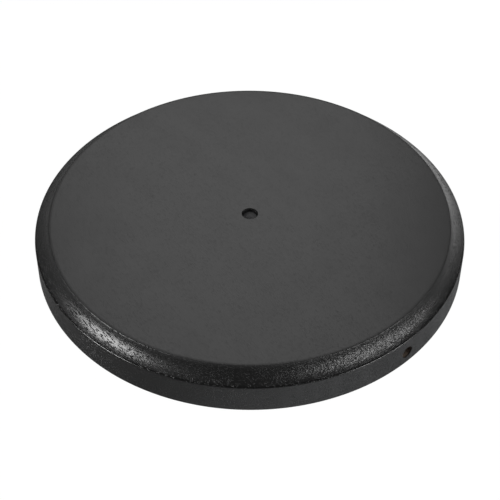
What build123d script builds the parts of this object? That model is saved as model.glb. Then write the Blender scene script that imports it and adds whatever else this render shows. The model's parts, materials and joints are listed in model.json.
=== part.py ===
from build123d import *
import math
import os

# A hand-turned display stand: a moulded hardwood platter that turns on a ring of balls
# over a smaller base disc with rubber feet. A steel spindle at the centre keeps the
# platter true and holds it down. Millimetres, +Z up, origin on the table under the spindle.

# ---- Driving sizes ----

# Platter
PLATTER_DIAMETER = 300.0
PLATTER_THICKNESS = 31.3
COVE_WIDTH = 10.25
COVE_HEIGHT = 9.5
COVE_RADIUS = 19.0
TOP_EDGE_ROUND = 1.2
ARRIS_ROUND = 0.8
LOWER_EDGE_ROUND = 1.0
BEARING_RECESS_DEPTH = 6.0
CENTRE_HOLE_DIAMETER = 11.2
CENTRE_HOLE_DEPTH = 2.4
SIDE_BORE_DIAMETER = 9.0
SIDE_BORE_DEPTH = 28.0
SIDE_BORE_HEIGHT = 10.4
SIDE_BORE_ANGLE = -46.6
DRILL_POINT_ANGLE = 118.0

# Base disc and feet
BASE_DIAMETER = 220.0
BASE_THICKNESS = 12.0
BASE_UPPER_ROUND = 2.0
BASE_LOWER_ROUND = 1.0
BASE_POCKET_DIAMETER = 36.0
BASE_POCKET_DEPTH = 5.0
FOOT_COUNT = 4
FOOT_CIRCLE_RADIUS = 92.0
FOOT_TOP_DIAMETER = 24.0
FOOT_BOTTOM_DIAMETER = 20.0
FOOT_HEIGHT = 8.0
FOOT_EDGE_ROUND = 1.0
FOOT_WELL_DIAMETER = 12.0
FOOT_WELL_DEPTH = 4.8
FOOT_WASHER_THICKNESS = 1.0

# Ball ring
BALL_DIAMETER = 6.0
BALL_COUNT = 24
BALL_CIRCLE_RADIUS = 74.0
RACE_INNER_RADIUS = 60.5
RACE_OUTER_RADIUS = 80.5
RACE_THICKNESS = 2.5
RACE_GROOVE_DEPTH = 1.0
RACE_SCREW_RADIUS = 65.5
RACE_SCREW_COUNT = 6
CAGE_THICKNESS = 1.6
CAGE_RIM = 1.8

# Spindle and what holds it
SPINDLE_DIAMETER = 12.0
SPIGOT_DIAMETER = 10.0
SPINDLE_FLANGE_DIAMETER = 52.0
SPINDLE_FLANGE_THICKNESS = 4.0
SPINDLE_SCREW_RADIUS = 18.5
SPINDLE_SCREW_COUNT = 4
BUSH_WALL = 3.0
BUSH_FLANGE_DIAMETER = 44.0
BUSH_FLANGE_THICKNESS = 2.5
BUSH_SCREW_RADIUS = 16.0
BUSH_SCREW_COUNT = 3
THRUST_WASHER_DIAMETER = 24.0
THRUST_WASHER_THICKNESS = 1.0
RETAINING_WASHER_DIAMETER = 22.0
RETAINING_WASHER_THICKNESS = 1.0
CLIP_THICKNESS = 1.0
CLIP_WIDTH = 2.6
CLIP_GAP_ANGLE = 50.0
CLIP_GROOVE_DEPTH = 0.7
SPINDLE_TAIL = 1.0
CAP_FLANGE_OVERLAP = 4.0
CAP_THICKNESS = 1.4
CAP_EDGE_ROUND = 0.7
CAP_RIM_HEIGHT = 2.2
CAP_RIM_WALL = 1.6

# Screws: shank diameter, head diameter, whole length
UPPER_RACE_SCREW = (3.5, 6.6, 13.0)
LOWER_RACE_SCREW = (3.5, 6.6, 12.0)
SPINDLE_SCREW = (4.0, 7.6, 17.0)
BUSH_SCREW = (3.0, 5.6, 9.0)
FOOT_SCREW = (3.5, 7.0, 13.0)
PAN_HEAD_HEIGHT = 2.2
PAN_HEAD_ROUND = 0.9
COUNTERSINK_ANGLE = 90.0
SCREW_TIP_LENGTH = 3.0
CROSS_SLOT_SHARE = 0.55
CROSS_SLOT_WIDTH = 1.0
CROSS_SLOT_DEPTH = 1.2

# ---- Clearances ----
RUNNING_FIT = 0.05
BALL_FIT = 0.10
CAGE_POCKET_FIT = 0.20
SNUG_FIT = 0.05
WASHER_HOLE_FIT = 0.25
AXIAL_PLAY = 0.10
RECESS_MARGIN = 1.5
SMALL_CHAMFER = 0.3

# ---- Heights that follow from the sizes above ----
BASE_BOTTOM = FOOT_HEIGHT
BASE_TOP = BASE_BOTTOM + BASE_THICKNESS
GROOVE_RADIUS = BALL_DIAMETER / 2 + BALL_FIT
LOWER_RACE_TOP = BASE_TOP + RACE_THICKNESS
BALL_CENTRE_HEIGHT = LOWER_RACE_TOP - RACE_GROOVE_DEPTH + GROOVE_RADIUS
UPPER_RACE_BOTTOM = 2 * BALL_CENTRE_HEIGHT - LOWER_RACE_TOP
RECESS_CEILING = UPPER_RACE_BOTTOM + RACE_THICKNESS
PLATTER_BOTTOM = RECESS_CEILING - BEARING_RECESS_DEPTH
PLATTER_TOP = PLATTER_BOTTOM + PLATTER_THICKNESS
SPINDLE_FLANGE_BOTTOM = RECESS_CEILING - SPINDLE_FLANGE_THICKNESS
POCKET_CEILING = BASE_BOTTOM + BASE_POCKET_DEPTH
BUSH_TOP = BASE_TOP + BUSH_FLANGE_THICKNESS
THRUST_WASHER_BOTTOM = POCKET_CEILING - THRUST_WASHER_THICKNESS
RETAINING_WASHER_TOP = THRUST_WASHER_BOTTOM - AXIAL_PLAY
RETAINING_WASHER_BOTTOM = RETAINING_WASHER_TOP - RETAINING_WASHER_THICKNESS
CLIP_BOTTOM = RETAINING_WASHER_BOTTOM - CLIP_THICKNESS
SPINDLE_BOTTOM = CLIP_BOTTOM - SPINDLE_TAIL
SPIGOT_TOP = PLATTER_TOP - CENTRE_HOLE_DEPTH - AXIAL_PLAY
BUSH_BARREL_RADIUS = SPINDLE_DIAMETER / 2 + RUNNING_FIT + BUSH_WALL


# ---- Helpers ----

def rod(radius, bottom, top, x=0.0, y=0.0):
    """A plain upright cylinder between two heights."""
    return Pos(x, y, bottom) * Cylinder(radius, top - bottom, align=(Align.CENTER, Align.CENTER, Align.MIN))


def ring(outer, inner, bottom, top):
    """A plain flat ring between two heights."""
    return rod(outer, bottom, top) - rod(inner, bottom, top)


def around(count, radius, start=0.0):
    """Evenly spaced points on a circle."""
    angles = [math.radians(start) + 2 * math.pi * i / count for i in range(count)]
    return [(radius * math.cos(angle), radius * math.sin(angle)) for angle in angles]


def circular_edges(shape, height, radius, tolerance=0.02):
    """The edges that lie at one height on one circle about the Z axis."""
    found = []
    for edge in shape.edges().filter_by(GeomType.CIRCLE):
        centre = edge.arc_center
        on_axis = math.hypot(centre.X, centre.Y) < tolerance
        if on_axis and abs(centre.Z - height) < tolerance and abs(edge.radius - radius) < tolerance:
            found.append(edge)
    return found


def cross_slot(top, head_diameter, upside_down):
    """The cross cut in a screw's head."""
    length = head_diameter * CROSS_SLOT_SHARE
    middle = top + CROSS_SLOT_DEPTH / 2 if upside_down else top - CROSS_SLOT_DEPTH / 2
    along = Pos(0, 0, middle) * Box(length, CROSS_SLOT_WIDTH, CROSS_SLOT_DEPTH)
    across = Pos(0, 0, middle) * Box(CROSS_SLOT_WIDTH, length, CROSS_SLOT_DEPTH)
    return along + across


def countersunk_head_height(size):
    """How deep a countersunk head is."""
    shank, head, _ = size
    return (head - shank) / 2 / math.tan(math.radians(COUNTERSINK_ANGLE / 2))


def countersunk_screw(size, face, points_up):
    """A countersunk wood screw with its head flush with a face, pointing up or down."""
    shank, head, length = size
    away = 1 if points_up else -1
    depth = countersunk_head_height(size)
    outline = Polyline(
        (0, face),
        (head / 2, face),
        (shank / 2, face + away * depth),
        (shank / 2, face + away * (length - SCREW_TIP_LENGTH)),
        (0, face + away * length),
        close=True,
    )
    return revolve(Plane.XZ * make_face(outline), Axis.Z) - cross_slot(face, head, points_up)


def pan_head_screw(size, seat, x, y):
    """A pan head wood screw whose head sits under a seat, pointing up."""
    shank, head, length = size
    top = Cylinder(head / 2, PAN_HEAD_HEIGHT, align=(Align.CENTER, Align.CENTER, Align.MAX))
    top = fillet(top.edges().group_by(Axis.Z)[0], PAN_HEAD_ROUND)
    straight = length - PAN_HEAD_HEIGHT - SCREW_TIP_LENGTH
    body = rod(shank / 2, 0, straight)
    tip = Pos(0, 0, straight) * Cone(
        shank / 2, 0.0, SCREW_TIP_LENGTH, align=(Align.CENTER, Align.CENTER, Align.MIN)
    )
    return Pos(x, y, seat) * (top + body + tip - cross_slot(-PAN_HEAD_HEIGHT, head, True))


def countersunk_hole(size, face, points_up, reach):
    """The clearance hole and countersink for a screw, through a plate of one thickness."""
    shank, head, _ = size
    away = 1 if points_up else -1
    depth = countersunk_head_height(size)
    outline = Polyline(
        (0, face),
        (head / 2 + SNUG_FIT, face),
        (shank / 2 + SNUG_FIT, face + away * depth),
        (shank / 2 + SNUG_FIT, face + away * reach),
        (0, face + away * reach),
        close=True,
    )
    return revolve(Plane.XZ * make_face(outline), Axis.Z)


def pilot_hole(size, face, points_up, plate):
    """The blind hole that a screw's shank fills in the wood beyond a plate."""
    shank, _, length = size
    depth = length - plate + SNUG_FIT
    low = face if points_up else face - depth
    return rod(shank / 2 + SNUG_FIT, low, low + depth)


def spread(shape, points):
    """Copies of one shape at several points, as one group of separate solids."""
    return Compound([Pos(x, y, 0) * shape for x, y in points])


def cut_all(body, tool, points):
    """Cuts the same tool out of a body at several points."""
    for x, y in points:
        body = body - Pos(x, y, 0) * tool
    return body


# ---- Where the fasteners go ----
RACE_SCREWS_AT = around(RACE_SCREW_COUNT, RACE_SCREW_RADIUS)
SPINDLE_SCREWS_AT = around(SPINDLE_SCREW_COUNT, SPINDLE_SCREW_RADIUS, 45)
BUSH_SCREWS_AT = around(BUSH_SCREW_COUNT, BUSH_SCREW_RADIUS, 90)
FEET_AT = around(FOOT_COUNT, FOOT_CIRCLE_RADIUS, 45)
FOOT_NAMES = ["foot_rear_right", "foot_rear_left", "foot_front_left", "foot_front_right"]


# ---- Platter and what turns with it ----

def platter_blank():
    """The turned disc: straight side, hollow cove above it and a flat top face."""
    outer = PLATTER_DIAMETER / 2
    top = outer - COVE_WIDTH
    shoulder = PLATTER_TOP - COVE_HEIGHT
    straight = Polyline(
        (top, PLATTER_TOP),
        (0, PLATTER_TOP),
        (0, PLATTER_BOTTOM),
        (outer, PLATTER_BOTTOM),
        (outer, shoulder),
    )
    cove = RadiusArc((outer, shoulder), (top, PLATTER_TOP), COVE_RADIUS)
    disc = revolve(Plane.XZ * make_face(straight + cove), Axis.Z)
    disc = fillet(circular_edges(disc, PLATTER_TOP, top), TOP_EDGE_ROUND)
    disc = fillet(circular_edges(disc, shoulder, outer), ARRIS_ROUND)
    return fillet(circular_edges(disc, PLATTER_BOTTOM, outer), LOWER_EDGE_ROUND)


def side_bore():
    """The blind hole drilled into the platter's side, pointed inwards as a drill leaves it."""
    radius = SIDE_BORE_DIAMETER / 2
    outer = PLATTER_DIAMETER / 2
    start = outer - SIDE_BORE_DEPTH
    point = radius / math.tan(math.radians(DRILL_POINT_ANGLE / 2))
    outline = Polyline(
        (start - point, 0), (start, radius), (outer + radius, radius), (outer + radius, 0), close=True
    )
    cutter = revolve(make_face(outline), Axis.X)
    return Pos(0, 0, PLATTER_BOTTOM + SIDE_BORE_HEIGHT) * Rot(0, 0, SIDE_BORE_ANGLE) * cutter


def platter():
    disc = platter_blank()
    recess_radius = RACE_OUTER_RADIUS + RECESS_MARGIN
    disc = disc - rod(recess_radius, PLATTER_BOTTOM, RECESS_CEILING)
    disc = disc - rod(SPIGOT_DIAMETER / 2 + SNUG_FIT, RECESS_CEILING, PLATTER_TOP)
    disc = disc - rod(CENTRE_HOLE_DIAMETER / 2, PLATTER_TOP - CENTRE_HOLE_DEPTH, PLATTER_TOP)
    disc = disc - side_bore()
    race_pilot = pilot_hole(UPPER_RACE_SCREW, RECESS_CEILING, True, RACE_THICKNESS)
    spindle_pilot = pilot_hole(SPINDLE_SCREW, RECESS_CEILING, True, SPINDLE_FLANGE_THICKNESS)
    disc = cut_all(disc, race_pilot, RACE_SCREWS_AT)
    disc = cut_all(disc, spindle_pilot, SPINDLE_SCREWS_AT)
    return chamfer(circular_edges(disc, PLATTER_BOTTOM, recess_radius), SMALL_CHAMFER)


def spindle():
    """Flanged steel spindle: a spigot up into the platter, a shaft down through the bush."""
    shaft = rod(SPINDLE_DIAMETER / 2, SPINDLE_BOTTOM, RECESS_CEILING)
    flange = rod(SPINDLE_FLANGE_DIAMETER / 2, SPINDLE_FLANGE_BOTTOM, RECESS_CEILING)
    spigot = rod(SPIGOT_DIAMETER / 2, RECESS_CEILING, SPIGOT_TOP)
    body = shaft + flange + spigot
    groove_bed = SPINDLE_DIAMETER / 2 - CLIP_GROOVE_DEPTH
    body = body - ring(SPINDLE_DIAMETER, groove_bed, CLIP_BOTTOM, RETAINING_WASHER_BOTTOM)
    hole = countersunk_hole(SPINDLE_SCREW, SPINDLE_FLANGE_BOTTOM, True, SPINDLE_FLANGE_THICKNESS)
    body = cut_all(body, hole, SPINDLE_SCREWS_AT)
    ends = circular_edges(body, SPINDLE_BOTTOM, SPINDLE_DIAMETER / 2)
    ends += circular_edges(body, SPIGOT_TOP, SPIGOT_DIAMETER / 2)
    ends += circular_edges(body, SPINDLE_FLANGE_BOTTOM, SPINDLE_FLANGE_DIAMETER / 2)
    return chamfer(ends, SMALL_CHAMFER)


def spindle_screws():
    screw = countersunk_screw(SPINDLE_SCREW, SPINDLE_FLANGE_BOTTOM, True)
    return spread(screw, SPINDLE_SCREWS_AT)


def retaining_washer():
    """Steel washer that turns with the spindle against the thrust washer."""
    inner = SPINDLE_DIAMETER / 2 + SNUG_FIT
    return ring(RETAINING_WASHER_DIAMETER / 2, inner, RETAINING_WASHER_BOTTOM, RETAINING_WASHER_TOP)


def retaining_clip():
    """Open spring clip in the spindle's groove."""
    inner = SPINDLE_DIAMETER / 2 - CLIP_GROOVE_DEPTH + SNUG_FIT
    outer = inner + CLIP_WIDTH
    body = ring(outer, inner, CLIP_BOTTOM + SNUG_FIT, RETAINING_WASHER_BOTTOM - SNUG_FIT)
    far = RETAINING_WASHER_DIAMETER
    spread_at_far = far * math.tan(math.radians(CLIP_GAP_ANGLE / 2))
    opening = make_face(Polyline((0, 0), (far, -spread_at_far), (far, spread_at_far), close=True))
    return body - Pos(0, 0, CLIP_BOTTOM) * extrude(opening, CLIP_THICKNESS)


# ---- Ball ring ----

def race(bottom, top, screw_size, head_face, points_up):
    """A pressed steel ring with a ball groove in one face and countersunk screw holes."""
    body = ring(RACE_OUTER_RADIUS, RACE_INNER_RADIUS, bottom, top)
    groove = Pos(0, 0, BALL_CENTRE_HEIGHT) * Torus(BALL_CIRCLE_RADIUS, GROOVE_RADIUS)
    hole = countersunk_hole(screw_size, head_face, points_up, RACE_THICKNESS)
    return cut_all(body - groove, hole, RACE_SCREWS_AT)


def lower_race():
    return race(BASE_TOP, LOWER_RACE_TOP, LOWER_RACE_SCREW, LOWER_RACE_TOP, False)


def upper_race():
    return race(UPPER_RACE_BOTTOM, RECESS_CEILING, UPPER_RACE_SCREW, UPPER_RACE_BOTTOM, True)


def lower_race_screws():
    return spread(countersunk_screw(LOWER_RACE_SCREW, LOWER_RACE_TOP, False), RACE_SCREWS_AT)


def upper_race_screws():
    return spread(countersunk_screw(UPPER_RACE_SCREW, UPPER_RACE_BOTTOM, True), RACE_SCREWS_AT)


def bearing_balls():
    ball = Pos(0, 0, BALL_CENTRE_HEIGHT) * Sphere(BALL_DIAMETER / 2)
    return spread(ball, around(BALL_COUNT, BALL_CIRCLE_RADIUS))


def ball_cage():
    """Thin ring that keeps the balls evenly spaced."""
    pocket_radius = BALL_DIAMETER / 2 + CAGE_POCKET_FIT
    half_width = pocket_radius + CAGE_RIM
    bottom = BALL_CENTRE_HEIGHT - CAGE_THICKNESS / 2
    top = bottom + CAGE_THICKNESS
    body = ring(BALL_CIRCLE_RADIUS + half_width, BALL_CIRCLE_RADIUS - half_width, bottom, top)
    return cut_all(body, rod(pocket_radius, bottom, top), around(BALL_COUNT, BALL_CIRCLE_RADIUS))


# ---- Base and what stays still ----

def base_disc():
    radius = BASE_DIAMETER / 2
    body = rod(radius, BASE_BOTTOM, BASE_TOP)
    body = fillet(circular_edges(body, BASE_TOP, radius), BASE_UPPER_ROUND)
    body = fillet(circular_edges(body, BASE_BOTTOM, radius), BASE_LOWER_ROUND)
    body = body - rod(BASE_POCKET_DIAMETER / 2, BASE_BOTTOM, POCKET_CEILING)
    body = body - rod(BUSH_BARREL_RADIUS + SNUG_FIT, POCKET_CEILING, BASE_TOP)
    race_pilot = pilot_hole(LOWER_RACE_SCREW, BASE_TOP, False, RACE_THICKNESS)
    bush_pilot = pilot_hole(BUSH_SCREW, BASE_TOP, False, BUSH_FLANGE_THICKNESS)
    foot_plate = PAN_HEAD_HEIGHT + FOOT_WASHER_THICKNESS + FOOT_HEIGHT - FOOT_WELL_DEPTH
    foot_pilot = pilot_hole(FOOT_SCREW, BASE_BOTTOM, True, foot_plate)
    body = cut_all(body, race_pilot, RACE_SCREWS_AT)
    body = cut_all(body, bush_pilot, BUSH_SCREWS_AT)
    return cut_all(body, foot_pilot, FEET_AT)


def spindle_bush():
    """Flanged brass bush that the spindle turns in."""
    radius = BUSH_FLANGE_DIAMETER / 2
    body = rod(BUSH_BARREL_RADIUS, POCKET_CEILING, BASE_TOP) + rod(radius, BASE_TOP, BUSH_TOP)
    body = body - rod(SPINDLE_DIAMETER / 2 + RUNNING_FIT, POCKET_CEILING, BUSH_TOP)
    hole = countersunk_hole(BUSH_SCREW, BUSH_TOP, False, BUSH_FLANGE_THICKNESS)
    body = cut_all(body, hole, BUSH_SCREWS_AT)
    return chamfer(circular_edges(body, BUSH_TOP, radius), SMALL_CHAMFER)


def bush_screws():
    return spread(countersunk_screw(BUSH_SCREW, BUSH_TOP, False), BUSH_SCREWS_AT)


def thrust_washer():
    """Nylon washer under the bush, fixed in the base's pocket."""
    inner = SPINDLE_DIAMETER / 2 + WASHER_HOLE_FIT
    return ring(THRUST_WASHER_DIAMETER / 2, inner, THRUST_WASHER_BOTTOM, POCKET_CEILING)


def foot(x, y):
    """Tapered rubber foot with a well for its screw and washer."""
    shank, _, _ = FOOT_SCREW
    body = Cone(
        FOOT_BOTTOM_DIAMETER / 2, FOOT_TOP_DIAMETER / 2, FOOT_HEIGHT,
        align=(Align.CENTER, Align.CENTER, Align.MIN),
    )
    body = fillet(circular_edges(body, 0, FOOT_BOTTOM_DIAMETER / 2), FOOT_EDGE_ROUND)
    body = body - rod(FOOT_WELL_DIAMETER / 2, 0, FOOT_WELL_DEPTH)
    body = body - rod(shank / 2 + SNUG_FIT, FOOT_WELL_DEPTH, FOOT_HEIGHT)
    return Pos(x, y, 0) * body


def foot_washers():
    shank, _, _ = FOOT_SCREW
    outer = FOOT_WELL_DIAMETER / 2 - SNUG_FIT
    washer = ring(outer, shank / 2 + SNUG_FIT, FOOT_WELL_DEPTH - FOOT_WASHER_THICKNESS, FOOT_WELL_DEPTH)
    return spread(washer, FEET_AT)


def foot_screws():
    seat = FOOT_WELL_DEPTH - FOOT_WASHER_THICKNESS
    return Compound([pan_head_screw(FOOT_SCREW, seat, x, y) for x, y in FEET_AT])


def base_cap():
    """Push-in cap that closes the pocket under the base."""
    plug = BASE_POCKET_DIAMETER / 2 - SNUG_FIT
    cover = rod(BASE_POCKET_DIAMETER / 2 + CAP_FLANGE_OVERLAP, BASE_BOTTOM - CAP_THICKNESS, BASE_BOTTOM)
    cover = fillet(cover.edges().group_by(Axis.Z)[0], CAP_EDGE_ROUND)
    return cover + ring(plug, plug - CAP_RIM_WALL, BASE_BOTTOM, BASE_BOTTOM + CAP_RIM_HEIGHT)


def all_parts():
    parts = {
        "platter": platter(),
        "spindle": spindle(),
        "spindle_screws": spindle_screws(),
        "upper_race": upper_race(),
        "upper_race_screws": upper_race_screws(),
        "retaining_washer": retaining_washer(),
        "retaining_clip": retaining_clip(),
        "ball_cage": ball_cage(),
        "bearing_balls": bearing_balls(),
        "lower_race": lower_race(),
        "lower_race_screws": lower_race_screws(),
        "base_disc": base_disc(),
        "spindle_bush": spindle_bush(),
        "bush_screws": bush_screws(),
        "thrust_washer": thrust_washer(),
        "foot_washers": foot_washers(),
        "foot_screws": foot_screws(),
        "base_cap": base_cap(),
    }
    for name, (x, y) in zip(FOOT_NAMES, FEET_AT):
        parts[name] = foot(x, y)
    return parts


os.makedirs("parts", exist_ok=True)
for name, shape in all_parts().items():
    export_step(shape, f"parts/{name}.step")
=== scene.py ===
import json
import math

import bmesh
import bpy
from mathutils import Matrix, Vector


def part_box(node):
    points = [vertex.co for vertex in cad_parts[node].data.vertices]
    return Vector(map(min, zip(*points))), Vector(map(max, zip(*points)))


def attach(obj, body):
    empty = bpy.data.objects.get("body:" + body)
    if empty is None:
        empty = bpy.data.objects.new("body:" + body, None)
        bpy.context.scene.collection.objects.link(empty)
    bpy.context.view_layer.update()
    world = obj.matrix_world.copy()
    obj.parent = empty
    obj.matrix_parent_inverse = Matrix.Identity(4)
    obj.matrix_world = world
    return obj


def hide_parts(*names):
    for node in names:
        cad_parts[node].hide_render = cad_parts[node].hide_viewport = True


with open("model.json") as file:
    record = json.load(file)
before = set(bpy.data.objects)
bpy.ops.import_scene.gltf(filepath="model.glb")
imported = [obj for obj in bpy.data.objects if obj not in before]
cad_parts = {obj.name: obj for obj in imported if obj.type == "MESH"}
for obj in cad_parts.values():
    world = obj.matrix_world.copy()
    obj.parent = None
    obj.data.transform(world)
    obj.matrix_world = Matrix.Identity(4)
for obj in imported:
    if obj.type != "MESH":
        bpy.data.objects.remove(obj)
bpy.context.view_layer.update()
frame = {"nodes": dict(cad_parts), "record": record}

# A hand-turned display stand: a moulded, black-stained platter on a ring of balls, over a
# painted base disc with rubber feet. Metres, +Z up, origin on the table under the spindle.

MM = 0.001

# ---- Sizes ----

# Platter moulding and holes, as turned
COVE_WIDTH = 10.25 * MM
COVE_HEIGHT = 9.5 * MM
COVE_RADIUS = 19.0 * MM
TOP_EDGE_ROUND = 1.2 * MM
ARRIS_ROUND = 0.8 * MM
LOWER_EDGE_ROUND = 1.0 * MM
HOLE_EDGE_ROUND = 0.15 * MM
RECESS_CHAMFER = 0.3 * MM
RECESS_MARGIN = 1.5 * MM
SNUG_FIT = 0.05 * MM
SPIGOT_RADIUS = 5.0 * MM
STAIN_DEPTH = 0.6 * MM
DRILL_POINT_ANGLE = math.radians(118)

# Fasteners: shank diameter, head diameter, whole length
UPPER_RACE_SCREW = (3.5 * MM, 6.6 * MM, 13.0 * MM)
LOWER_RACE_SCREW = (3.5 * MM, 6.6 * MM, 12.0 * MM)
SPINDLE_SCREW = (4.0 * MM, 7.6 * MM, 17.0 * MM)
BUSH_SCREW = (3.0 * MM, 5.6 * MM, 9.0 * MM)
FOOT_SCREW = (3.5 * MM, 7.0 * MM, 13.0 * MM)
RACE_SCREW_COUNT = 6
RACE_SCREW_RADIUS = 65.5 * MM
SPINDLE_SCREW_COUNT = 4
SPINDLE_SCREW_RADIUS = 18.5 * MM
BUSH_SCREW_COUNT = 3
BUSH_SCREW_RADIUS = 16.0 * MM
PAN_HEAD_HEIGHT = 2.2 * MM
PAN_HEAD_ROUND = 0.9 * MM
SCREW_TIP_LENGTH = 3.0 * MM
THREAD_PITCH = 1.3 * MM
THREAD_CORE_SHARE = 0.66
THREAD_RIDGE_SHARE = 0.24
NECK_SHARE = 0.86
COUNTERSUNK_NECK_SHARE = 0.16
PAN_NECK_LENGTH = 1.5 * MM
THREAD_START = 0.2 * MM
HEAD_RIM = 0.1 * MM
HEAD_TURN = 0.9

# Feet
FOOT_WELL_RADIUS = 6.0 * MM
FOOT_WELL_DEPTH = 4.8 * MM
FOOT_HOLE_RADIUS = 1.8 * MM
FOOT_BOTTOM_RADIUS = 10.0 * MM
FOOT_EDGE_ROUND = 1.0 * MM
MOULD_ROUND = 0.3 * MM
GRIP_GROOVE_WIDTH = 0.6 * MM
GRIP_GROOVE_DEPTH = 0.4 * MM
GRIP_GROOVE_RADII = (7.2 * MM, 8.4 * MM)
SIDE_GROOVE_HEIGHTS = (3.0 * MM, 5.2 * MM)
SIDE_GROOVE_WIDTH = 1.0 * MM
SIDE_GROOVE_DEPTH = 0.3 * MM

# Cap under the base
CAP_PLUG_RADIUS = 17.95 * MM
CAP_RIM_WALL = 1.6 * MM
CAP_EDGE_ROUND = 0.7 * MM
CAP_THICKNESS = 1.4 * MM
CAP_DISH_RADIUS = 14.0 * MM
CAP_DISH_DEPTH = 0.5 * MM
CAP_PLUG_CHAMFER = 0.4 * MM
PRY_NOTCH_RADIUS = 1.6 * MM

# Where the wood's grain runs, as a turn from +X
GRAIN_ANGLE = math.radians(-52)


# ---- Places that the frame gives ----

def mount(name):
    """A mount of the part, by name."""
    return next(m for m in frame["record"]["mounts"] if m["name"] == name)


platter_low, platter_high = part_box("platter")
RADIUS = platter_high.x
TOP = platter_high.z
BOTTOM = platter_low.z
RECESS_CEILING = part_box("upper_race")[1].z
RECESS_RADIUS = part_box("upper_race")[1].x + RECESS_MARGIN
SPIGOT_HOLE_RADIUS = SPIGOT_RADIUS + SNUG_FIT
FOOT_NAMES = ["foot_front_left", "foot_front_right", "foot_rear_left", "foot_rear_right"]
FEET_AT = [((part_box(name)[0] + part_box(name)[1]) / 2).xy for name in FOOT_NAMES]
CENTRE_HOLE = mount("centre_hole")
SIDE_BORE = mount("side_bore")
CENTRE_HOLE_RADIUS = CENTRE_HOLE["dims"]["r_mm"] * MM
CENTRE_HOLE_FLOOR = TOP - CENTRE_HOLE["dims"]["length_mm"] * MM
BASE_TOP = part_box("base_disc")[1].z
BASE_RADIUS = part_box("base_disc")[1].x


# ---- Turning and cutting meshes ----

def arc(centre, radius, start, end, steps):
    """Points on an arc of an outline, its angles measured from straight up towards the rim."""
    points = []
    for i in range(steps + 1):
        angle = start + (end - start) * i / steps
        points.append((centre[0] + radius * math.sin(angle), centre[1] + radius * math.cos(angle)))
    return points


def skinned(name, rings, closed=True):
    """A mesh skinned over rings of points; a ring of one point closes an end."""
    work = bmesh.new()
    rings = [[work.verts.new(point) for point in ring] for ring in rings]
    steps = max(len(ring) for ring in rings)
    pairs = list(zip(rings, rings[1:]))
    if closed:
        pairs.append((rings[-1], rings[0]))
    for one, other in pairs:
        for i in range(steps):
            j = (i + 1) % steps
            corners = [one[i % len(one)], one[j % len(one)], other[j % len(other)], other[i % len(other)]]
            work.faces.new(list(dict.fromkeys(corners)))
    bmesh.ops.recalc_face_normals(work, faces=work.faces)
    mesh = bpy.data.meshes.new(name)
    work.to_mesh(mesh)
    work.free()
    return mesh


def circle(radius, height, steps, centre=(0, 0)):
    """A ring of points about an upright axis, or one point on the axis."""
    if radius < 1e-7:
        return [(centre[0], centre[1], height)]
    angles = [2 * math.pi * i / steps for i in range(steps)]
    return [(centre[0] + radius * math.cos(a), centre[1] + radius * math.sin(a), height) for a in angles]


def turned(name, outline, steps=96, centre=(0, 0), closed=True):
    """A mesh turned from an outline of (radius, height) points about an upright axis.
    A closed outline is a ring's section; an open one starts and ends on the axis."""
    return skinned(name, [circle(radius, height, steps, centre) for radius, height in outline], closed)


def placed(name, mesh):
    """An object that shows a mesh."""
    piece = bpy.data.objects.new(name, mesh)
    bpy.context.scene.collection.objects.link(piece)
    return piece


def joined(name, meshes):
    """One mesh of several, each kept as a separate solid."""
    work = bmesh.new()
    for mesh in meshes:
        work.from_mesh(mesh)
    result = bpy.data.meshes.new(name)
    work.to_mesh(result)
    work.free()
    return result


def moved(mesh, matrix):
    """A copy of a mesh, moved."""
    copy = mesh.copy()
    copy.transform(matrix)
    return copy


def applied(piece):
    """Turns a piece's modifiers into its own mesh."""
    bpy.context.view_layer.update()
    graph = bpy.context.evaluated_depsgraph_get()
    mesh = bpy.data.meshes.new_from_object(piece.evaluated_get(graph))
    piece.modifiers.clear()
    piece.data = mesh
    return piece


def cut(piece, cutter_mesh):
    """Cuts a closed mesh out of a piece."""
    cutter = placed("cutter", cutter_mesh)
    modifier = piece.modifiers.new("cut", "BOOLEAN")
    modifier.operation = "DIFFERENCE"
    modifier.solver = "EXACT"
    modifier.object = cutter
    applied(piece)
    bpy.data.objects.remove(cutter)
    return piece


def crisp(piece, angle=30):
    """Smooth shading with sharp corners, and flats that stay flat up to their rounded edges."""
    for face in piece.data.polygons:
        face.use_smooth = True
    piece.data.set_sharp_from_angle(angle=math.radians(angle))
    weighted = piece.modifiers.new("flat faces lead", "WEIGHTED_NORMAL")
    weighted.keep_sharp = True
    weighted.weight = 100
    return piece


def around(count, radius, start=0.0):
    """Evenly spaced points on a circle."""
    angles = [math.radians(start) + 2 * math.pi * i / count for i in range(count)]
    return [(radius * math.cos(angle), radius * math.sin(angle)) for angle in angles]


RACE_SCREWS_AT = around(RACE_SCREW_COUNT, RACE_SCREW_RADIUS)
SPINDLE_SCREWS_AT = around(SPINDLE_SCREW_COUNT, SPINDLE_SCREW_RADIUS, 45)
BUSH_SCREWS_AT = around(BUSH_SCREW_COUNT, BUSH_SCREW_RADIUS, 90)


# ---- Shader nodes ----

def add(tree, kind, values=None, **settings):
    """A node with its settings, its sockets set to values or linked to other sockets."""
    made = tree.nodes.new("ShaderNode" + kind)
    for name, value in settings.items():
        setattr(made, name, value)
    for socket, value in (values or {}).items():
        if isinstance(value, bpy.types.NodeSocket):
            tree.links.new(value, made.inputs[socket])
        else:
            made.inputs[socket].default_value = value
    return made


def maths(tree, operation, *values):
    """One sum on values or sockets."""
    return add(tree, "Math", dict(enumerate(values)), operation=operation).outputs[0]


def vectors(tree, operation, *values):
    """One vector sum on values or sockets."""
    return add(tree, "VectorMath", dict(enumerate(values)), operation=operation).outputs["Vector"]


def span(tree, value, low, high, new_low=0.0, new_high=1.0):
    """A value eased from one range into another."""
    sockets = {"Value": value, "From Min": low, "From Max": high, "To Min": new_low, "To Max": new_high}
    return add(tree, "MapRange", sockets, interpolation_type="SMOOTHSTEP").outputs["Result"]


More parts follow.
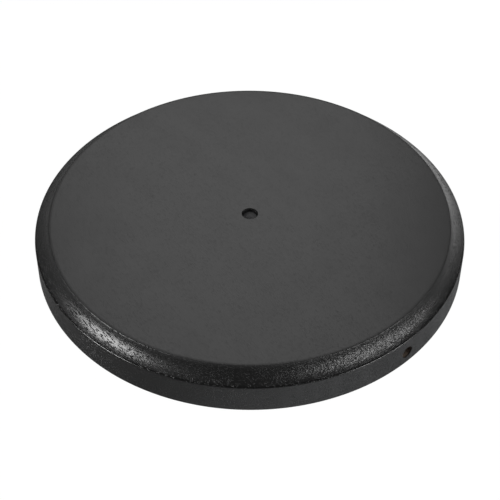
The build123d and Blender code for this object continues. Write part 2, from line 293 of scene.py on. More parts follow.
def blended(tree, share, one, other):
    """A colour between two."""
    mix = add(tree, "Mix", data_type="RGBA")
    for socket, value in ((mix.inputs[0], share), (mix.inputs[6], one), (mix.inputs[7], other)):
        if isinstance(value, bpy.types.NodeSocket):
            tree.links.new(value, socket)
        else:
            socket.default_value = value
    return mix.outputs[2]


def noise(tree, place, scale, detail=2.0, roughness=0.5):
    """Soft noise at a place, from 0 to 1."""
    sockets = {"Vector": place, "Scale": scale, "Detail": detail, "Roughness": roughness}
    return add(tree, "TexNoise", sockets).outputs["Fac"]


def distance(tree, one, other):
    """How far two places are apart, from their steps along two square directions."""
    squares = maths(tree, "ADD", maths(tree, "POWER", one, 2.0), maths(tree, "POWER", other, 2.0))
    return maths(tree, "SQRT", squares)


def off_axis(tree, place):
    """How far a place is from the upright axis, and how high it is."""
    flat = add(tree, "SeparateXYZ", {"Vector": place}).outputs
    return distance(tree, flat[0], flat[1]), flat[2]


def group(name, inputs, outputs):
    """An empty node group with number inputs and their usual values, and its outputs."""
    tree = bpy.data.node_groups.new(name, "ShaderNodeTree")
    for socket, value in inputs.items():
        made = tree.interface.new_socket(socket, in_out="INPUT", socket_type="NodeSocketFloat")
        made.default_value = value
    for socket in outputs:
        tree.interface.new_socket(socket, in_out="OUTPUT", socket_type="NodeSocketFloat")
    return tree, tree.nodes.new("NodeGroupInput").outputs, tree.nodes.new("NodeGroupOutput").inputs


def use(tree, node_group, **values):
    """A node group placed in a material with its own values."""
    made = tree.nodes.new("ShaderNodeGroup")
    made.node_tree = node_group
    for name, value in values.items():
        made.inputs[name.replace("_", " ")].default_value = value
    return made.outputs


def grain_group():
    """Wood grain: open pores along the grain, streaks, growth bands and a mask for end grain."""
    sizes = {"Pore Length": 4.2 * MM, "Pore Width": 0.68 * MM, "Pore Share": 0.48}
    tree, given, wanted = group("wood_grain", sizes, ["Pores", "Streaks", "Bands", "End Grain", "Flat"])
    coordinates = add(tree, "TexCoord")
    turn = add(tree, "Mapping", {"Vector": coordinates.outputs["Object"]})
    turn.inputs["Rotation"].default_value = (0, 0, -GRAIN_ANGLE)
    along = turn.outputs["Vector"]
    drift = noise(tree, vectors(tree, "MULTIPLY", along, (9.0, 30.0, 30.0)), 1.0, 1.0)
    sideways = add(tree, "CombineXYZ", {"Y": maths(tree, "MULTIPLY", drift, 5 * MM)}).outputs[0]
    along = vectors(tree, "ADD", along, sideways)

    per_length = maths(tree, "DIVIDE", 1.0, given["Pore Length"])
    per_width = maths(tree, "DIVIDE", 1.0, given["Pore Width"])
    stretch = add(tree, "CombineXYZ", {"X": per_length, "Y": per_width, "Z": per_width}).outputs[0]
    cells = add(tree, "TexVoronoi", {"Vector": vectors(tree, "MULTIPLY", along, stretch), "Scale": 1.0})
    chance = add(tree, "SeparateColor", {"Color": cells.outputs["Color"]}).outputs[0]
    bands = noise(tree, vectors(tree, "MULTIPLY", along, (6.0, 95.0, 60.0)), 1.0, 1.0)
    crowding = span(tree, bands, 0.35, 0.62, 0.50, 0.05)
    present = span(tree, maths(tree, "SUBTRACT", chance, crowding), 0.0, 0.2, 0.0, 1.0)
    size = maths(tree, "ADD", maths(tree, "MULTIPLY", present, given["Pore Share"]), 0.01)
    inside = maths(tree, "DIVIDE", cells.outputs["Distance"], size)
    tree.links.new(span(tree, inside, 0.5, 1.0, 1.0, 0.0), wanted["Pores"])

    streaks = noise(tree, vectors(tree, "MULTIPLY", along, (14.0, 700.0, 700.0)), 1.0, 3.0, 0.6)
    tree.links.new(streaks, wanted["Streaks"])
    tree.links.new(bands, wanted["Bands"])
    facing = add(tree, "VectorMath", operation="DOT_PRODUCT")
    tree.links.new(coordinates.outputs["Normal"], facing.inputs[0])
    facing.inputs[1].default_value = (math.cos(GRAIN_ANGLE), math.sin(GRAIN_ANGLE), 0)
    across = maths(tree, "ABSOLUTE", facing.outputs["Value"])
    tree.links.new(span(tree, across, 0.25, 0.75), wanted["End Grain"])
    upright = add(tree, "SeparateXYZ", {"Vector": coordinates.outputs["Normal"]}).outputs["Z"]
    tree.links.new(span(tree, maths(tree, "ABSOLUTE", upright), 0.96, 0.995), wanted["Flat"])
    return tree


def lathe_rings_group():
    """Fine rings that a turning tool leaves, about the upright axis."""
    tree, given, wanted = group("turning_rings", {"Pitch": 0.25 * MM}, ["Rings"])
    radius, height = off_axis(tree, add(tree, "TexCoord").outputs["Object"])
    travel = maths(tree, "DIVIDE", maths(tree, "ADD", radius, height), given["Pitch"])
    wander = add(tree, "TexNoise", {"W": travel, "Scale": 1.0, "Detail": 2.0}, noise_dimensions="1D")
    tree.links.new(wander.outputs["Fac"], wanted["Rings"])
    return tree


def handling_group():
    """Soft smudges and fine dust that break up an even surface."""
    tree, given, wanted = group("handling", {"Patch": 18 * MM, "Speck": 0.6 * MM}, ["Smudges", "Dust"])
    place = add(tree, "TexCoord").outputs["Object"]
    patches = noise(tree, place, maths(tree, "DIVIDE", 1.0, given["Patch"]), 3.0, 0.6)
    specks = noise(tree, place, maths(tree, "DIVIDE", 1.0, given["Speck"]), 1.0, 0.5)
    tree.links.new(patches, wanted["Smudges"])
    tree.links.new(span(tree, specks, 0.62, 0.8), wanted["Dust"])
    return tree


def rubbed_edge_group():
    """Where hands polish a round edge, at one radius and height about the upright axis."""
    sizes = {"Edge Radius": 0.1, "Edge Height": 0.02, "Reach": 1.3 * MM}
    tree, given, wanted = group("rubbed_edge", sizes, ["Rubbed"])
    radius, height = off_axis(tree, add(tree, "TexCoord").outputs["Object"])
    out = maths(tree, "SUBTRACT", radius, given["Edge Radius"])
    up = maths(tree, "SUBTRACT", height, given["Edge Height"])
    share = maths(tree, "DIVIDE", distance(tree, out, up), given["Reach"])
    tree.links.new(span(tree, share, 0.6, 1.0, 1.0, 0.0), wanted["Rubbed"])
    return tree


grain = grain_group()
turning_rings = lathe_rings_group()
handling = handling_group()
rubbed_edge = rubbed_edge_group()


# ---- Finishes ----

def finish_for(name):
    """A new material, its node tree and its main shader."""
    material = bpy.data.materials.new(name)
    material.use_nodes = True
    tree = material.node_tree
    return material, tree, tree.nodes["Principled BSDF"].inputs


def bumped(tree, shader, height, depth):
    """Feeds a height to the shader's normal, so that 1 stands one depth proud."""
    bump = add(tree, "Bump", {"Height": height, "Distance": depth, "Strength": 1.0})
    tree.links.new(bump.outputs["Normal"], shader["Normal"])


def weighed(tree, *pairs):
    """A sum of heights, each with its weight."""
    total = 0.0
    for height, weight in pairs:
        total = maths(tree, "ADD", total, maths(tree, "MULTIPLY", height, weight))
    return total


STAIN = (0.0035, 0.0035, 0.0036, 1)
STAIN_WORN = (0.0080, 0.0079, 0.0078, 1)
STAIN_IN_PORES = (0.0010, 0.0010, 0.0011, 1)


def stained_wood():
    """Turned hardwood, stained black under satin lacquer that leaves the pores open."""
    material, tree, shader = finish_for("black_stained_wood")
    wood = use(tree, grain)
    marks = use(tree, handling, Patch=30 * MM, Speck=0.9 * MM)
    place = add(tree, "TexCoord").outputs["Object"]
    streaked = blended(tree, wood["Streaks"], STAIN, STAIN_WORN)
    banded = blended(tree, maths(tree, "MULTIPLY", wood["Bands"], 0.5), streaked, STAIN)
    open_share = span(tree, wood["Flat"], 0.0, 1.0, 1.0, 0.03)
    pores = maths(tree, "MULTIPLY", wood["Pores"], open_share)
    tree.links.new(blended(tree, pores, banded, STAIN_IN_PORES), shader["Base Color"])
    arris = use(tree, rubbed_edge, Edge_Radius=RADIUS, Edge_Height=TOP - COVE_HEIGHT, Reach=1.5 * MM)
    lip = use(tree, rubbed_edge, Edge_Radius=RADIUS - COVE_WIDTH, Edge_Height=TOP, Reach=2.2 * MM)
    satin = span(tree, marks["Smudges"], 0.3, 0.7, 0.285, 0.305)
    dull = maths(tree, "MULTIPLY", wood["Pores"], span(tree, wood["Flat"], 0.0, 1.0, 1.0, 0.15))
    weights = ((satin, 1.0), (dull, 0.4), (arris["Rubbed"], -0.11), (lip["Rubbed"], 0.12))
    tree.links.new(weighed(tree, *weights), shader["Roughness"])
    shader["IOR"].default_value = 1.5
    grit = maths(tree, "SUBTRACT", noise(tree, place, 1 / (1.4 * MM), 3.0, 0.65), 0.5)
    grit = maths(tree, "MULTIPLY", grit, maths(tree, "ADD", 0.36, wood["End Grain"]))
    grit = maths(tree, "MULTIPLY", grit, span(tree, wood["Flat"], 0.0, 1.0, 1.0, 0.04))
    lines = maths(tree, "SUBTRACT", wood["Streaks"], 0.5)
    lines = maths(tree, "MULTIPLY", lines, span(tree, wood["Flat"], 0.0, 1.0, 0.7, 0.2))
    height = weighed(tree, (pores, -3.0), (lines, 1.0), (grit, 3.0))
    kept = maths(tree, "SUBTRACT", 1.0, maths(tree, "MULTIPLY", arris["Rubbed"], 0.85))
    bumped(tree, shader, maths(tree, "MULTIPLY", height, kept), 0.1 * MM)
    return material


def bare_wood():
    """The drilled wood inside the side bore: stain has soaked in at the mouth, brown beyond it."""
    material, tree, shader = finish_for("bare_drilled_wood")
    wood = use(tree, grain)
    place = add(tree, "TexCoord").outputs["Object"]
    radius, _ = off_axis(tree, place)
    soak = maths(tree, "ADD", radius, maths(tree, "MULTIPLY", noise(tree, place, 1200.0), 2 * MM))
    stain = span(tree, soak, RADIUS - STAIN_DEPTH, RADIUS - STAIN_DEPTH + 1.5 * MM)
    brown = blended(tree, wood["Streaks"], (0.050, 0.035, 0.025, 1), (0.105, 0.078, 0.058, 1))
    brown = blended(tree, wood["Pores"], brown, (0.018, 0.012, 0.009, 1))
    tree.links.new(blended(tree, stain, brown, (0.006, 0.006, 0.006, 1)), shader["Base Color"])
    tree.links.new(span(tree, stain, 0.0, 1.0, 0.8, 0.5), shader["Roughness"])
    torn = noise(tree, place, 1 / (0.5 * MM), 3.0)
    bumped(tree, shader, weighed(tree, (torn, 0.6), (wood["Pores"], -0.6)), 0.2 * MM)
    return material


def metal(name, dark, bright, rough, ring_depth, shine=1.0):
    """Metal with turning rings and a mottled surface."""
    material, tree, shader = finish_for(name)
    marks = use(tree, handling, Patch=6 * MM, Speck=0.5 * MM)
    rings = use(tree, turning_rings)
    tint = blended(tree, span(tree, marks["Smudges"], 0.3, 0.7), (*dark, 1), (*bright, 1))
    tree.links.new(tint, shader["Base Color"])
    shader["Metallic"].default_value = shine
    satin = span(tree, marks["Smudges"], 0.3, 0.7, rough[1], rough[0])
    dusty = maths(tree, "ADD", satin, maths(tree, "MULTIPLY", marks["Dust"], 0.08))
    tree.links.new(dusty, shader["Roughness"])
    bumped(tree, shader, weighed(tree, (rings["Rings"], 1.0), (marks["Dust"], 0.3)), ring_depth)
    return material


def moulded(name, dark, bright, rough, texture, depth):
    """Moulded rubber or plastic with the mould's fine texture and a little dust."""
    material, tree, shader = finish_for(name)
    marks = use(tree, handling, Patch=9 * MM, Speck=0.7 * MM)
    place = add(tree, "TexCoord").outputs["Object"]
    base = blended(tree, marks["Smudges"], (*dark, 1), (*bright, 1))
    dust = maths(tree, "MULTIPLY", marks["Dust"], 0.25)
    tree.links.new(blended(tree, dust, base, (0.16, 0.155, 0.15, 1)), shader["Base Color"])
    tree.links.new(span(tree, marks["Smudges"], 0.3, 0.7, *rough), shader["Roughness"])
    bumped(tree, shader, noise(tree, place, 1 / texture, 2.0, 0.6), depth)
    return material


def painted_board():
    """Board painted matt black, with the roller's stipple and a rubbed edge."""
    material, tree, shader = finish_for("black_painted_board")
    marks = use(tree, handling, Patch=25 * MM, Speck=0.8 * MM)
    place = add(tree, "TexCoord").outputs["Object"]
    paint = blended(tree, marks["Smudges"], (0.012, 0.012, 0.012, 1), (0.022, 0.022, 0.022, 1))
    dust = maths(tree, "MULTIPLY", marks["Dust"], 0.15)
    dusty = blended(tree, dust, paint, (0.10, 0.10, 0.10, 1))
    corner = use(tree, rubbed_edge, Edge_Radius=BASE_RADIUS, Edge_Height=BASE_TOP, Reach=3 * MM)
    worn = maths(tree, "MULTIPLY", corner["Rubbed"], span(tree, marks["Smudges"], 0.45, 0.7))
    tree.links.new(blended(tree, worn, dusty, (0.045, 0.040, 0.035, 1)), shader["Base Color"])
    tree.links.new(span(tree, marks["Smudges"], 0.3, 0.7, 0.5, 0.62), shader["Roughness"])
    stipple = noise(tree, place, 1 / (1.3 * MM), 2.0, 0.5)
    bumped(tree, shader, stipple, 0.12 * MM)
    return material


def nylon():
    """Off-white nylon, slightly clouded."""
    material, tree, shader = finish_for("white_nylon")
    marks = use(tree, handling, Patch=12 * MM, Speck=0.6 * MM)
    place = add(tree, "TexCoord").outputs["Object"]
    cloud = blended(tree, marks["Smudges"], (0.62, 0.60, 0.54, 1), (0.74, 0.73, 0.68, 1))
    tree.links.new(cloud, shader["Base Color"])
    tree.links.new(span(tree, marks["Smudges"], 0.3, 0.7, 0.38, 0.5), shader["Roughness"])
    shader["Subsurface Weight"].default_value = 0.15
    shader["Subsurface Radius"].default_value = (1 * MM, 1 * MM, 0.8 * MM)
    bumped(tree, shader, noise(tree, place, 1 / (0.8 * MM), 2.0), 0.03 * MM)
    return material


FINISHES = {
    "black_stained_wood": stained_wood(),
    "black_painted_board": painted_board(),
    "zinc_plated_steel": metal(
        "zinc_plated_steel", (0.52, 0.53, 0.55), (0.68, 0.69, 0.71), (0.24, 0.38), 0.006 * MM
    ),
    "blackened_steel": metal(
        "blackened_steel", (0.020, 0.020, 0.021), (0.032, 0.032, 0.033), (0.55, 0.68), 0.010 * MM, 0.3
    ),
    "polished_ball_steel": metal(
        "polished_ball_steel", (0.60, 0.61, 0.62), (0.66, 0.67, 0.68), (0.05, 0.11), 0.0003 * MM
    ),
    "brass": metal(
        "brass", (0.60, 0.41, 0.16), (0.74, 0.54, 0.24), (0.22, 0.36), 0.008 * MM
    ),
    "white_nylon": nylon(),
    "black_plastic": moulded(
        "black_plastic", (0.012, 0.012, 0.013), (0.020, 0.020, 0.021), (0.34, 0.46), 0.5 * MM, 0.04 * MM
    ),
    "black_rubber": moulded(
        "black_rubber", (0.014, 0.014, 0.014), (0.026, 0.026, 0.026), (0.62, 0.78), 0.35 * MM, 0.05 * MM
    ),
}
SLOT_OF = {part["node"]: part["material_slot"] for part in frame["record"]["subparts"]}
drilled_wood = bare_wood()


def dressed(piece, slot, body, node):
    """Gives a finished piece its finish and its body, and hides the CAD node that it stands for."""
    if not piece.data.materials:
        piece.data.materials.append(FINISHES[slot])
    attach(piece, body)
    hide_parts(node)


# ---- Platter ----

def platter_outline():
    """The platter's section from the spindle's hole, over the top and moulding, to the recess."""
    shoulder = TOP - COVE_HEIGHT
    lip = RADIUS - COVE_WIDTH
    chord = Vector((lip - RADIUS, TOP - shoulder))
    outward = Vector((chord.y, -chord.x)).normalized()
    reach = math.sqrt(COVE_RADIUS ** 2 - (chord.length / 2) ** 2)
    cove = Vector((RADIUS + lip, TOP + shoulder)) / 2 + outward * reach

    rise = cove.y - (TOP - TOP_EDGE_ROUND)
    inset = cove.x - math.sqrt((COVE_RADIUS + TOP_EDGE_ROUND) ** 2 - rise ** 2)
    top_round = Vector((inset, TOP - TOP_EDGE_ROUND))
    side = cove.x - (RADIUS - ARRIS_ROUND)
    arris = Vector((RADIUS - ARRIS_ROUND, cove.y - math.sqrt((COVE_RADIUS + ARRIS_ROUND) ** 2 - side ** 2)))
    steep = math.atan2(cove.x - top_round.x, cove.y - top_round.y)
    shallow = math.atan2(cove.x - arris.x, cove.y - arris.y)
    quarter = math.pi / 2

    hole_round = (CENTRE_HOLE_RADIUS + HOLE_EDGE_ROUND, TOP - HOLE_EDGE_ROUND)
    foot_round = (RADIUS - LOWER_EDGE_ROUND, BOTTOM + LOWER_EDGE_ROUND)
    outline = [(SPIGOT_HOLE_RADIUS, RECESS_CEILING), (SPIGOT_HOLE_RADIUS, CENTRE_HOLE_FLOOR)]
    outline += [(CENTRE_HOLE_RADIUS, CENTRE_HOLE_FLOOR)]
    outline += arc(hole_round, HOLE_EDGE_ROUND, -quarter, 0, 4)
    outline += [(lip * share, TOP) for share in (0.12, 0.3, 0.5, 0.7, 0.85, 0.95)]
    outline += arc(top_round, TOP_EDGE_ROUND, 0, steep, 8)
    outline += arc(cove, COVE_RADIUS, steep + math.pi, shallow + math.pi, 28)[1:-1]
    outline += arc(arris, ARRIS_ROUND, shallow, quarter, 8)
    outline += arc(foot_round, LOWER_EDGE_ROUND, quarter, 2 * quarter, 6)
    outline += [(RECESS_RADIUS + 0.4 * (RADIUS - RECESS_RADIUS), BOTTOM)]
    outline += [(RECESS_RADIUS + RECESS_CHAMFER, BOTTOM), (RECESS_RADIUS, BOTTOM + RECESS_CHAMFER)]
    outline += [(RECESS_RADIUS, RECESS_CEILING), (RECESS_RADIUS / 2, RECESS_CEILING)]
    return outline


def bore_cutter():
    """The side bore's drill, pointed inwards, laid along the mount's axis."""
    radius = SIDE_BORE["dims"]["r_mm"] * MM
    depth = SIDE_BORE["dims"]["length_mm"] * MM
    point = radius / math.tan(DRILL_POINT_ANGLE / 2)
    outline = [(0, radius), (radius, radius), (radius, -depth / 3), (radius, -depth), (0, -depth - point)]
    drill = turned("drill", outline, steps=64, closed=False)
    axis = Vector(SIDE_BORE["axis"])
    mouth = Vector(SIDE_BORE["pos_m"]) + axis * (RADIUS - Vector(SIDE_BORE["pos_m"]).xy.length)
    drill.transform(Matrix.Translation(mouth) @ axis.to_track_quat("Z", "Y").to_matrix().to_4x4())
    for face in drill.polygons:
        face.material_index = 1
    return drill


def pilot_cutter(size, points, plate):
    """Blind holes up into the platter's recess for a group of screws."""
    shank, _, length = size
    top = RECESS_CEILING + length - plate + SNUG_FIT
    radius = shank / 2 + SNUG_FIT
    outline = [(0, RECESS_CEILING - MM), (radius, RECESS_CEILING - MM), (radius, top), (0, top)]
    holes = [turned("pilot", outline, steps=24, centre=point, closed=False) for point in points]
    return joined("pilots", holes)


def make_platter():
    piece = placed("turned_platter", turned("turned_platter", platter_outline(), steps=480))
    piece.data.materials.append(FINISHES["black_stained_wood"])
    piece.data.materials.append(drilled_wood)
    cut(piece, bore_cutter())
    race_plate = RECESS_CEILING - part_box("upper_race")[0].z
    flange = RECESS_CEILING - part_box("spindle_screws")[0].z
    cut(piece, pilot_cutter(UPPER_RACE_SCREW, RACE_SCREWS_AT, race_plate))
    cut(piece, pilot_cutter(SPINDLE_SCREW, SPINDLE_SCREWS_AT, flange))
    crisp(piece)
    dressed(piece, "black_stained_wood", "platter", "platter")


make_platter()


# ---- Screws ----

def thread_height(turns):
    """How high the thread's ridge is, from 0 to 1, at a number of turns along it."""
    return max(0.0, 1 - abs(turns % 1 - 0.5) / THREAD_RIDGE_SHARE)


def threaded_rings(shank, start, length, steps=24, rows_per_turn=12):
    """Rings of a thread that runs up from a start, fades in, and tapers to the screw's point."""
    rings = []
    rows = math.ceil((length - start) / THREAD_PITCH * rows_per_turn)
    for row in range(rows):
        height = start + (length - start) * row / rows
        taper = min(1.0, (length - height) / SCREW_TIP_LENGTH)
        core = shank / 2 * THREAD_CORE_SHARE * taper
        rise = (shank / 2 * taper ** 0.6 - core) * min(1.0, (height - start) / THREAD_PITCH)
        ring = []
        for i in range(steps):
            angle = 2 * math.pi * i / steps
            radius = core + rise * thread_height(height / THREAD_PITCH - i / steps)
            ring.append((radius * math.cos(angle), radius * math.sin(angle), height))
        rings.append(ring)
    return rings + [[(0, 0, length)]]


def cross_recess(head):
    """The tapered cross that a driver fits, as a cutter into a head whose face is at 0. Its mouth
    and bed are a height, an arm and half a width, as shares of the head's diameter."""
    mouth = (-0.05, 0.30, 0.085)
    bed = (0.26, 0.17, 0.05)
    rings = []
    for height, arm, half_width in (mouth, bed):
        ring = []
        for i in range(4):
            turn = Matrix.Rotation(i * math.pi / 2, 2)
            for x, y in ((half_width, half_width), (arm, half_width), (arm, -half_width)):
                flat = turn.inverted() @ Vector((x, y)) * head
                ring.append((flat.x, flat.y, height * head))
        rings.append(ring)
    tip = [(0, 0, 0.33 * head)]
    return skinned("cross", [[(0, 0, mouth[0] * head)], *rings, tip], closed=False)


def countersunk_head(size):
    """Outline of a countersunk head, its face at 0, down to the plain neck."""
    shank, head, length = size
    rim = head / 2 - HEAD_RIM
    neck = shank / 2 * NECK_SHARE
    sink = rim - neck + HEAD_RIM
    outline = [(0, 0), (rim * 0.7, 0), (rim, 0), (rim, HEAD_RIM), (neck, sink)]
    return outline + [(neck, sink + length * COUNTERSUNK_NECK_SHARE)]


def pan_head(size):
    """Outline of a pan head, its face at 0, down to the plain neck."""
    shank, head, _ = size
    neck = shank / 2 * NECK_SHARE
    face_round = (head / 2 - PAN_HEAD_ROUND, PAN_HEAD_ROUND)
    outline = [(0, 0)] + arc(face_round, PAN_HEAD_ROUND, math.pi, math.pi / 2, 8)
    outline += [(head / 2, PAN_HEAD_HEIGHT), (neck, PAN_HEAD_HEIGHT)]
    return outline + [(neck, PAN_HEAD_HEIGHT + PAN_NECK_LENGTH)]


def screw(size, head_outline):
    """One wood screw, its head's face at 0 and its point up: head, neck, thread and cross."""
    shank, head, length = size
    neck = head_outline[-1][1]
    rings = [circle(radius, height, 24) for radius, height in head_outline]
    rings += threaded_rings(shank, neck + THREAD_START, length)
    made = placed("screw", skinned("screw", rings, closed=False))
    cut(made, cross_recess(head))
    mesh = made.data
    bpy.data.objects.remove(made)
    return mesh


def make_screws(node, mesh, points, slot, body):
    """A group of one screw at several points, heads where the CAD node's heads are."""
    low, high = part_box(node)
    points_up = node in ("spindle_screws", "upper_race_screws", "foot_screws")
    face = low.z if points_up else high.z
    flip = Matrix.Identity(4) if points_up else Matrix.Rotation(math.pi, 4, "X")
    copies = []
    for i, (x, y) in enumerate(points):
        driven = Matrix.Rotation(i * HEAD_TURN, 4, "Z")
        copies.append(moved(mesh, Matrix.Translation((x, y, face)) @ flip @ driven))
    piece = placed("threaded_" + node, joined("threaded_" + node, copies))
    crisp(piece)
    dressed(piece, slot, body, node)


SCREW_GROUPS = [
    ("spindle_screws", SPINDLE_SCREW, countersunk_head, SPINDLE_SCREWS_AT, "platter"),
    ("upper_race_screws", UPPER_RACE_SCREW, countersunk_head, RACE_SCREWS_AT, "platter"),
    ("lower_race_screws", LOWER_RACE_SCREW, countersunk_head, RACE_SCREWS_AT, "base"),
    ("bush_screws", BUSH_SCREW, countersunk_head, BUSH_SCREWS_AT, "base"),
    ("foot_screws", FOOT_SCREW, pan_head, FEET_AT, "base"),
]
for node, size, head_outline, points, body in SCREW_GROUPS:
    make_screws(node, screw(size, head_outline(size)), points, SLOT_OF[node], body)


# ---- Feet ----

def grip_groove(radius):
    """A round-bottomed groove in a foot's underside."""
    half = GRIP_GROOVE_WIDTH / 2
    return [
        (radius - half, 0),
        (radius - half / 2, GRIP_GROOVE_DEPTH * 0.8),
        (radius, GRIP_GROOVE_DEPTH),
        (radius + half / 2, GRIP_GROOVE_DEPTH * 0.8),
        (radius + half, 0),
    ]


def foot_outline(top_radius, height):
    """A foot's section: screw hole, well, grooved underside, and two grooves round its side."""
    quarter = math.pi / 2
    well_round = (FOOT_WELL_RADIUS - MOULD_ROUND, FOOT_WELL_DEPTH - MOULD_ROUND)
    lip_round = (FOOT_WELL_RADIUS + MOULD_ROUND, MOULD_ROUND)
    edge_round = (FOOT_BOTTOM_RADIUS - FOOT_EDGE_ROUND, FOOT_EDGE_ROUND)
    top_round = (top_radius - MOULD_ROUND, height - MOULD_ROUND)
    outline = [(FOOT_HOLE_RADIUS, FOOT_WELL_DEPTH)]
    outline += arc(well_round, MOULD_ROUND, 0, quarter, 4)
    outline += arc(lip_round, MOULD_ROUND, -quarter, -2 * quarter, 4)
    for radius in GRIP_GROOVE_RADII:
        outline += grip_groove(radius)
    outline += arc(edge_round, FOOT_EDGE_ROUND, 2 * quarter, quarter * 1.1, 6)
    slope = (top_radius - FOOT_BOTTOM_RADIUS) / height
    for middle in SIDE_GROOVE_HEIGHTS:
        for above, sunk in ((-0.5, 0), (-0.25, SIDE_GROOVE_DEPTH), (0.25, SIDE_GROOVE_DEPTH), (0.5, 0)):
            level = middle + above * SIDE_GROOVE_WIDTH
            outline.append((FOOT_BOTTOM_RADIUS + slope * level - sunk, level))
    outline += arc(top_round, MOULD_ROUND, quarter, 0, 4)
    return outline + [(FOOT_HOLE_RADIUS, height)]


for name, middle in zip(FOOT_NAMES, FEET_AT):
    low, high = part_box(name)
    outline = foot_outline(high.x - middle.x, high.z)
    piece = placed("moulded_" + name, turned("moulded_" + name, outline, centre=middle))
    crisp(piece)
    dressed(piece, SLOT_OF[name], "base", name)


# ---- Cap under the base ----

def cap_outline(low, high):
    """The cap's section: a dished face, a rounded flange and a chamfered plug rim."""
    flange = high.x
    seat = low.z + CAP_THICKNESS
    edge = (flange - CAP_EDGE_ROUND, low.z + CAP_EDGE_ROUND)
    inside = CAP_PLUG_RADIUS - CAP_RIM_WALL
    outline = [(0, low.z + CAP_DISH_DEPTH), (CAP_DISH_RADIUS - MM, low.z + CAP_DISH_DEPTH)]
    outline += [(CAP_DISH_RADIUS - MOULD_ROUND, low.z + CAP_DISH_DEPTH * 0.7), (CAP_DISH_RADIUS, low.z)]
    outline += arc(edge, CAP_EDGE_ROUND, math.pi, math.pi / 2, 6)
    outline += [(flange, seat), (CAP_PLUG_RADIUS, seat), (CAP_PLUG_RADIUS, high.z - CAP_PLUG_CHAMFER)]
    outline += [(CAP_PLUG_RADIUS - CAP_PLUG_CHAMFER, high.z), (inside + MOULD_ROUND, high.z)]
    return outline + [(inside, high.z - MOULD_ROUND), (inside, seat), (0, seat)]


def make_cap():
    low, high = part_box("base_cap")
    piece = placed("moulded_cap", turned("moulded_cap", cap_outline(low, high), closed=False))
    notch = [(radius, low.z + side) for radius, side in ((0, -MM), (PRY_NOTCH_RADIUS, -MM))]
    notch += [(radius, low.z + side) for radius, side in ((PRY_NOTCH_RADIUS, MM), (0, MM))]
    cut(piece, turned("pry_notch", notch, steps=32, centre=(0, -high.x), closed=False))
    crisp(piece)
    dressed(piece, SLOT_OF["base_cap"], "base", "base_cap")


make_cap()


# ---- Carried-over pieces get their finishes ----

for name, node in frame["nodes"].items():
    if name != "platter":
        node.data.materials.clear()
        node.data.materials.append(FINISHES[SLOT_OF[name]])


# ---- Studio ----

WHITE = (1, 1, 1, 1)
# Floor colours of a painted pool of light: lit inside the pool, dim outside it
FLOOR_PAINTED_POOL = (0.68, 0.69, 0.70, 1)
FLOOR_OUTSIDE_PAINTED_POOL = (0.24, 0.24, 0.24, 1)
WALL_FRONT = (0.12, 0.12, 0.12, 1)
WALL_BACK = (0.36, 0.36, 0.36, 1)
CEILING = (0.035, 0.035, 0.035, 1)
CAMERA_HEIGHT = math.radians(44.40)
CAMERA_ROLL = math.radians(0.37)
CAMERA_DISTANCE = 6.395 * RADIUS
CAMERA_AIM = (0.0016 * RADIUS, -0.029 * RADIUS, BOTTOM)
CAMERA_LENS = 97.06


def studio_floor():
    """A pale floor, evenly bright to look at. Its colour carries a painted pool of light, brightest at the
    front right and dimmer further off, and glowing patches at the back right and beneath the base add
    painted light that shines back up at the stand."""
    material = bpy.data.materials.new("pale_floor")
    material.use_nodes = True
    tree = material.node_tree
    tree.nodes.clear()
    place = add(tree, "TexCoord").outputs["Object"]
    across = add(tree, "SeparateXYZ", {"Vector": place}).outputs
    away = add(tree, "VectorMath", {0: place, 1: (0.11, -0.14, 0)}, operation="DISTANCE").outputs["Value"]
    # Painted pool of light in the floor's colour, around a point at the front right
    painted_pool_tone = blended(tree, span(tree, away, 0.05, 0.22), FLOOR_PAINTED_POOL, FLOOR_OUTSIDE_PAINTED_POOL)
    # Glowing patches, painted light: at the back right, and beneath the base to light its underside
    corner = maths(tree, "MULTIPLY", span(tree, across[0], 0.05, 0.20), span(tree, across[1], 0.02, 0.12))
    beneath = span(tree, off_axis(tree, place)[0], 0.115, 0.14, 0.55, 0.0)
    corner = maths(tree, "ADD", maths(tree, "MULTIPLY", corner, 0.85), beneath)
    paper = add(tree, "BsdfDiffuse", {"Color": painted_pool_tone})
    lit = add(tree, "Emission", {"Color": WHITE, "Strength": corner})
    matt = add(tree, "AddShader", {0: paper.outputs[0], 1: lit.outputs[0]})
    glow = add(tree, "Emission", {"Color": WHITE, "Strength": 1.03})
    seen = add(tree, "MixShader", {0: 0.97, 1: matt.outputs[0], 2: glow.outputs[0]})
    path = add(tree, "LightPath").outputs["Is Camera Ray"]
    either = add(tree, "MixShader", {0: path, 1: matt.outputs[0], 2: seen.outputs[0]})
    below = add(tree, "NewGeometry").outputs["Backfacing"]
    clear = add(tree, "BsdfTransparent")
    sided = add(tree, "MixShader", {0: below, 1: either.outputs[0], 2: clear.outputs[0]})
    output = add(tree, "OutputMaterial")
    tree.links.new(sided.outputs[0], output.inputs["Surface"])
    work = bmesh.new()
    bmesh.ops.create_grid(work, x_segments=2, y_segments=2, size=3.0)
    mesh = bpy.data.meshes.new("studio_floor")
    work.to_mesh(mesh)
    work.free()
    mesh.materials.append(material)
    floor = placed("studio_floor", mesh)
    floor.location.z = -0.2 * MM


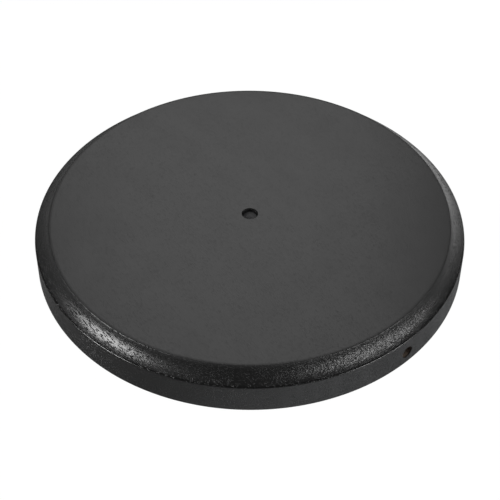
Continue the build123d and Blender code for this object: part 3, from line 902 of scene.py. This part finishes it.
def softbox(name, azimuth, elevation, width, height, brightness, distance=2.0):
    """A square soft light that faces the stand. Angles in degrees, azimuth from +Y to +X."""
    azimuth, elevation = math.radians(azimuth), math.radians(elevation)
    away = Vector((
        math.sin(azimuth) * math.cos(elevation),
        math.cos(azimuth) * math.cos(elevation),
        math.sin(elevation),
    ))
    light = bpy.data.lights.new(name, "AREA")
    light.shape = "RECTANGLE"
    light.size = 2 * distance * math.tan(math.radians(width / 2))
    light.size_y = 2 * distance * math.tan(math.radians(height / 2))
    light.energy = brightness * light.size * light.size_y * math.pi
    lamp = bpy.data.objects.new(name, light)
    bpy.context.scene.collection.objects.link(lamp)
    lamp.location = away * distance
    lamp.rotation_euler = (-away).to_track_quat("-Z", "Y").to_euler()
    lamp.visible_camera = False


def studio_room():
    """Grey walls, brightest at the back right, that darken overhead."""
    world = bpy.data.worlds.new("studio_room")
    world.use_nodes = True
    bpy.context.scene.world = world
    tree = world.node_tree
    way = add(tree, "TexCoord").outputs["Generated"]
    split = add(tree, "SeparateXYZ", {"Vector": way}).outputs
    window = add(tree, "VectorMath", {0: way, 1: (0.5, 0.866, 0)}, operation="DOT_PRODUCT").outputs["Value"]
    side = blended(tree, span(tree, split[1], 0.3, 0.9), WALL_FRONT, WALL_BACK)
    side = blended(tree, span(tree, window, 0.80, 0.97), side, WHITE)
    walls = blended(tree, span(tree, split[2], 0.25, 0.6), side, CEILING)
    path = add(tree, "LightPath").outputs["Is Camera Ray"]
    seen = blended(tree, path, walls, WHITE)
    tree.links.new(seen, tree.nodes["Background"].inputs["Color"])


def camera():
    """Looks down on the stand from the front with a long lens."""
    back = Vector((0, -math.cos(CAMERA_HEIGHT), math.sin(CAMERA_HEIGHT)))
    right = Vector((1, 0, 0))
    up = Vector((0, math.sin(CAMERA_HEIGHT), math.cos(CAMERA_HEIGHT)))
    across = math.cos(CAMERA_ROLL) * right + math.sin(CAMERA_ROLL) * up
    upright = -math.sin(CAMERA_ROLL) * right + math.cos(CAMERA_ROLL) * up
    place = Vector(CAMERA_AIM) + CAMERA_DISTANCE * back
    lens = bpy.data.cameras.new("camera")
    lens.sensor_width = 36
    lens.lens = CAMERA_LENS
    view = bpy.data.objects.new("camera", lens)
    bpy.context.scene.collection.objects.link(view)
    turn = Matrix((across, upright, back)).transposed().to_4x4()
    view.matrix_world = Matrix.Translation(place) @ turn
    bpy.context.scene.camera = view


camera()
studio_floor()
studio_room()
softbox("back_softbox", -2, 48, 26, 32, 1.68)
softbox("left_softbox", -108, 32, 22, 22, 20.0)
softbox("right_softbox", 116, 32, 26, 18, 15.0)
bpy.context.scene.view_settings.view_transform = "Standard"
